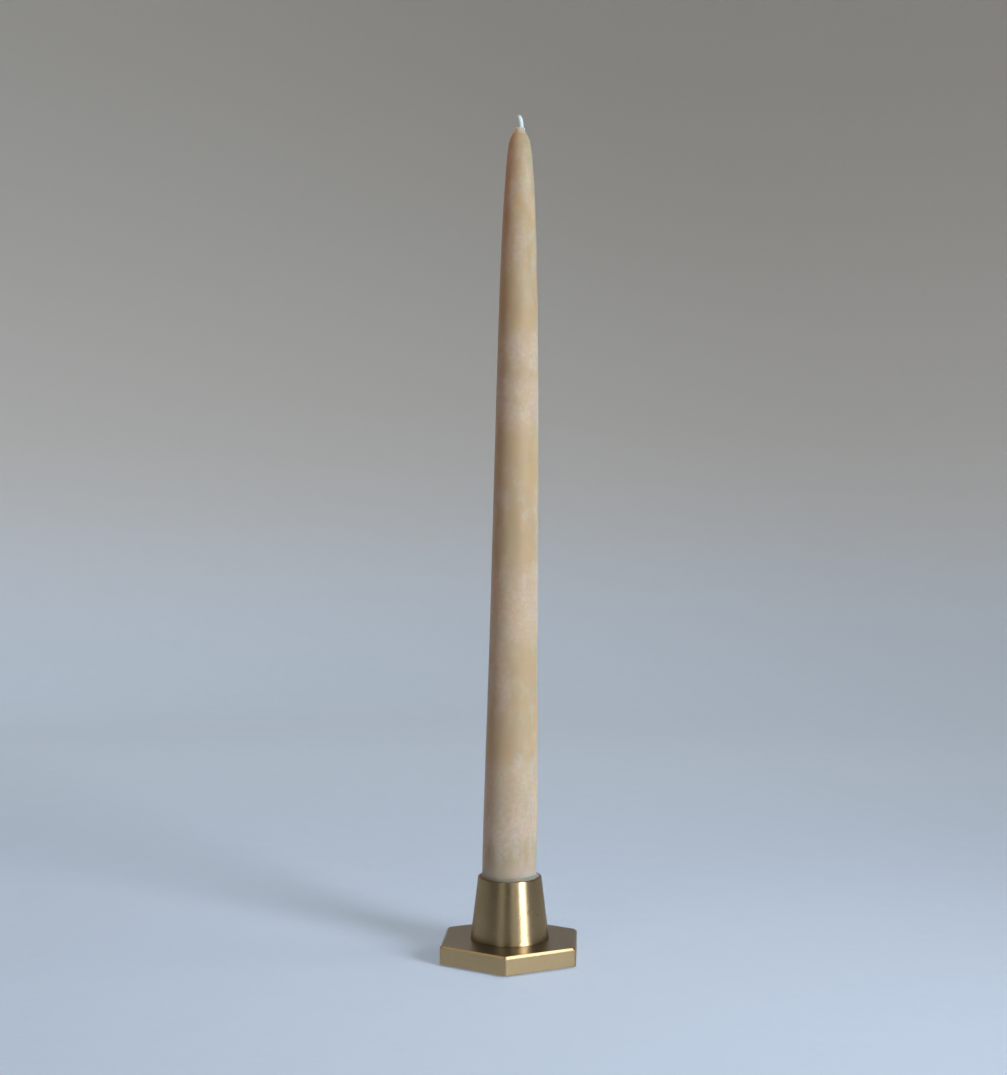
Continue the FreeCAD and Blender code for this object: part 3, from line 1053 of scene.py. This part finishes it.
paper, tree, shader, place = new_material("backdrop_paper")
parts = node(tree, "SeparateXYZ", {0: place}).outputs
depth, height = parts[1], parts[2]
fine = use_group(tree, marks_group, {"Place": place, "Size": 0.02, "Seed": 51.0})["Marks"]
wall = ramp(tree, height, *LEAVES_THE_FLOOR)
behind_viewer = maths(tree, "MULTIPLY", ramp(tree, depth, *VIEWERS_SIDE), wall)
before_object = ramp(tree, depth, *BEFORE_THE_OBJECT)
shade = mix_colour(tree, ramp(tree, height, *TURNS_GREY), BLUE_FLOOR, GREY_WALL)
shade = mix_colour(tree, before_object, shade, NEAR_FLOOR)
shade = mix_colour(tree, behind_viewer, shade, DARK_ROOM)
shade = mix_colour(tree, maths(tree, "MULTIPLY", fine, 0.04), shade, PAPER_MARKS)
tree.links.new(shade, shader.inputs["Base Color"])
glow = mix_colour(tree, ramp(tree, depth, *BEYOND_THE_OBJECT), GLOW_FLOOR, GLOW_FAR)
glow = mix_colour(tree, wall, glow, GLOW_LOW)
glow = mix_colour(tree, ramp(tree, height, *GLOWS_LESS), glow, GLOW_HIGH)
unlit = maths(tree, "MAXIMUM", behind_viewer, maths(tree, "MULTIPLY", before_object, 0.7))
tree.links.new(mix_colour(tree, unlit, glow, UNLIT), shader.inputs["Emission Color"])
shader.inputs["Emission Strength"].default_value = 1.0
shader.inputs["Roughness"].default_value = 0.9
shader.inputs["Specular IOR Level"].default_value = 0.1

# %% Spin the sweep
SWEEP_AROUND = 96
CURVE_STEPS = 24
sweep_outline = [(0.001, -FLOOR_DROP), (0.2, -FLOOR_DROP), (SWEEP_FLOOR, -FLOOR_DROP)]
for step in range(1, CURVE_STEPS + 1):
    bend = math.pi / 2 * step / CURVE_STEPS
    out, up = SWEEP_CURVE * math.sin(bend), SWEEP_CURVE * (1 - math.cos(bend))
    sweep_outline.append((SWEEP_FLOOR + out, up - FLOOR_DROP))
sweep_outline.append((SWEEP_FLOOR + SWEEP_CURVE, SWEEP_HEIGHT))
sweep_mesh = bpy.data.meshes.new("sweep")
sweep_rings = np.array(spun(sweep_outline, SWEEP_AROUND))
count, around = sweep_rings.shape[:2]
sweep_faces = [tuple(range(around))]
for i in range(count - 1):
    here, there = i * around, (i + 1) * around
    for j in range(around):
        k = (j + 1) % around
        sweep_faces.append((here + j, here + k, there + k, there + j))
sweep_mesh.from_pydata(sweep_rings.reshape(-1, 3).tolist(), [], sweep_faces)
sweep_mesh.polygons.foreach_set("use_smooth", [True] * len(sweep_faces))
sweep_mesh.materials.append(paper)
sweep = bpy.data.objects.new("sweep", sweep_mesh)
bpy.context.scene.collection.objects.link(sweep)
print("sweep, m: radius", SWEEP_FLOOR + SWEEP_CURVE, "height", SWEEP_HEIGHT)

# %% [markdown]
# The lamps are soft rectangles, and each has one job on the brass. A tall window to the right of the
# camera makes the bright streak on the cup, and a weak one beside it softens the streak's left edge.
# A wide faint card on the left makes the grey band on the shaded side. A small card high up on the
# right lights the polished bevel, and another on the left does so more faintly. The ceiling lights
# the floor. The three low lamps only spread their light narrowly, as behind a grid, and they stand
# clear of the floor. Otherwise they would leave a glaring pool of light on it, which shows from behind.


# %% Lamps
def softbox(name, turn, height, distance, width, tall, power, tint, aim=0.1, spread=180):
    """A soft lamp round the object. Its turn is in degrees, from the camera's side to the right."""
    data = bpy.data.lights.new(name, "AREA")
    data.shape = "RECTANGLE"
    data.size, data.size_y = width, tall
    data.energy = power
    data.spread = math.radians(spread)
    data.color = tint
    lamp = bpy.data.objects.new(name, data)
    angle = math.radians(turn) + CAMERA_TURN
    lamp.location = (distance * math.sin(angle), -distance * math.cos(angle), height)
    lamp.rotation_euler = (Vector((0, 0, aim)) - lamp.location).to_track_quat("-Z", "Y").to_euler()
    lamp.visible_camera = False
    bpy.context.scene.collection.objects.link(lamp)
    print(name, "power", power, "W")


softbox("window_right", 44, 0.32, 1.0, 0.36, 0.5, 2.22, (0.755, 0.865, 1.0), aim=0.16, spread=70)
softbox("window_haze", 14, 0.34, 0.95, 0.34, 0.54, 0.13, (0.85, 0.96, 1.0), aim=0.16, spread=70)
softbox("glint_card", 86, 1.1, 0.62, 0.25, 0.25, 0.95, (0.92, 0.95, 1.0))
softbox("card_left", -27, 0.39, 0.9, 0.32, 0.62, 0.15, (0.8, 0.95, 1.0), aim=0.18, spread=80)
softbox("card_high_left", -98, 0.83, 0.6, 0.35, 0.35, 0.3, (0.97, 0.95, 0.9))
softbox("ceiling", 0, 1.9, 0.01, 0.6, 0.6, 3.4, (0.96, 0.98, 1.0), aim=0)

world = bpy.data.worlds.new("studio")
world.use_nodes = True
background = world.node_tree.nodes["Background"]
background.inputs["Color"].default_value = colour(0.8, 0.85, 0.9)
background.inputs["Strength"].default_value = 0.05
bpy.context.scene.world = world
